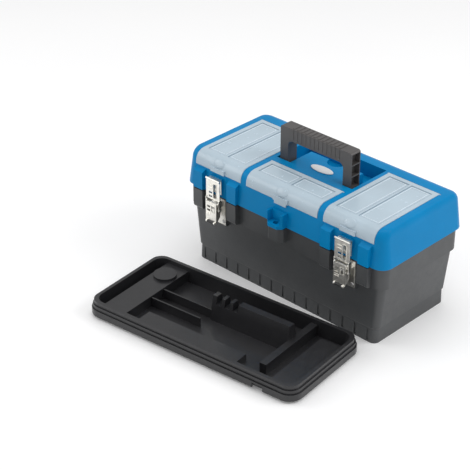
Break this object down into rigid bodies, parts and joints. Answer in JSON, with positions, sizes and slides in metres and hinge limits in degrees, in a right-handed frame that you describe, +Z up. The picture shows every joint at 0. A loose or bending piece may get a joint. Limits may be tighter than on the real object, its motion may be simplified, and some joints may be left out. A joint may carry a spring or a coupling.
{
  "type": "toolbox with tray",
  "caption": "Moulded toolbox with a hinged lid, organiser bins under frosted covers, folding handle, toggle latches and a lift-out tray.",
  "frame": {"origin": "centre of the tub's flat underside, on the ground", "axes": "+Z up, +X to the right seen from the front, -Y towards the front with the latches"},
  "size_m": [0.4189, 0.4447, 0.2616],
  "materials": {
    "tub_plastic": "fine-textured moulded polypropylene, charcoal",
    "tray_plastic": "moulded polypropylene, near black",
    "lid_plastic": "fine-textured moulded polypropylene, bright blue",
    "cover_plastic": "frosted translucent polypropylene",
    "handle_plastic": "moulded polypropylene, warm dark grey",
    "latch_steel": "nickel-plated pressed steel",
    "pin_steel": "zinc-plated steel",
    "badge": "blank label, satin white"
  },
  "bodies": {
    "box": {"base_shell": "tub_plastic", "lid_hinge_pin_left": "pin_steel", "lid_hinge_pin_right": "pin_steel", "latch_left_base_plate": "latch_steel", "latch_left_lever_pin": "pin_steel", "latch_left_base_rivet_1": "pin_steel", "latch_left_base_rivet_2": "pin_steel", "latch_right_base_plate": "latch_steel", "latch_right_lever_pin": "pin_steel", "latch_right_base_rivet_1": "pin_steel", "latch_right_base_rivet_2": "pin_steel"},
    "lid": {"lid_shell": "lid_plastic", "handle_pin_left": "pin_steel", "handle_pin_right": "pin_steel", "badge_blank": "badge", "latch_left_strike_plate": "latch_steel", "latch_left_strike_rivet_1": "pin_steel", "latch_left_strike_rivet_2": "pin_steel", "latch_right_strike_plate": "latch_steel", "latch_right_strike_rivet_1": "pin_steel", "latch_right_strike_rivet_2": "pin_steel"},
    "cover_left": {"organiser_lid_left": "cover_plastic"},
    "cover_centre": {"organiser_lid_centre": "cover_plastic"},
    "cover_right": {"organiser_lid_right": "cover_plastic"},
    "handle": {"carry_handle": "handle_plastic"},
    "lever_left": {"latch_left_lever": "latch_steel", "latch_left_bail_pin": "pin_steel"},
    "bail_left": {"latch_left_bail": "latch_steel"},
    "lever_right": {"latch_right_lever": "latch_steel", "latch_right_bail_pin": "pin_steel"},
    "bail_right": {"latch_right_bail": "latch_steel"},
    "tray": {"tray_body": "tray_plastic"}
  },
  "joints": [
    {"name": "lid_hinge", "type": "hinge", "parent": "box", "child": "lid", "pos_m": [0, 0.1057, 0.141], "axis": [-1, 0, 0], "range_deg": [0, 100]},
    {"name": "cover_left_hinge", "type": "hinge", "parent": "lid", "child": "cover_left", "pos_m": [-0.1355, 0.06, 0.2022], "axis": [-1, 0, 0], "range_deg": [0, 100]},
    {"name": "cover_centre_hinge", "type": "hinge", "parent": "lid", "child": "cover_centre", "pos_m": [0, -0.036, 0.2022], "axis": [-1, 0, 0], "range_deg": [0, 95]},
    {"name": "cover_right_hinge", "type": "hinge", "parent": "lid", "child": "cover_right", "pos_m": [0.1355, 0.06, 0.2022], "axis": [-1, 0, 0], "range_deg": [0, 100]},
    {"name": "handle_fold", "type": "hinge", "parent": "lid", "child": "handle", "pos_m": [0, -0.0071, 0.1925], "axis": [-1, 0, 0], "range_deg": [0, 90]},
    {"name": "latch_left_lever_hinge", "type": "hinge", "parent": "box", "child": "lever_left", "pos_m": [-0.1356, -0.1069, 0.131], "axis": [-1, 0, 0], "range_deg": [0, 150]},
    {"name": "latch_left_bail_hinge", "type": "hinge", "parent": "lever_left", "child": "bail_left", "pos_m": [-0.1356, -0.1069, 0.121], "axis": [-1, 0, 0], "range_deg": [-150, 0]},
    {"name": "latch_right_lever_hinge", "type": "hinge", "parent": "box", "child": "lever_right", "pos_m": [0.1356, -0.1069, 0.131], "axis": [-1, 0, 0], "range_deg": [0, 150]},
    {"name": "latch_right_bail_hinge", "type": "hinge", "parent": "lever_right", "child": "bail_right", "pos_m": [0.1356, -0.1069, 0.121], "axis": [-1, 0, 0], "range_deg": [-150, 0]},
    {"name": "tray_lift", "type": "slide", "parent": "box", "child": "tray", "axis": [0, -0.6, 0.8], "range_m": [0, 0.25]}
  ],
  "couplings": [
    {"joint": "latch_left_bail_hinge", "follows": "latch_left_lever_hinge", "ratio": -1},
    {"joint": "latch_right_bail_hinge", "follows": "latch_right_lever_hinge", "ratio": -1}
  ]
}
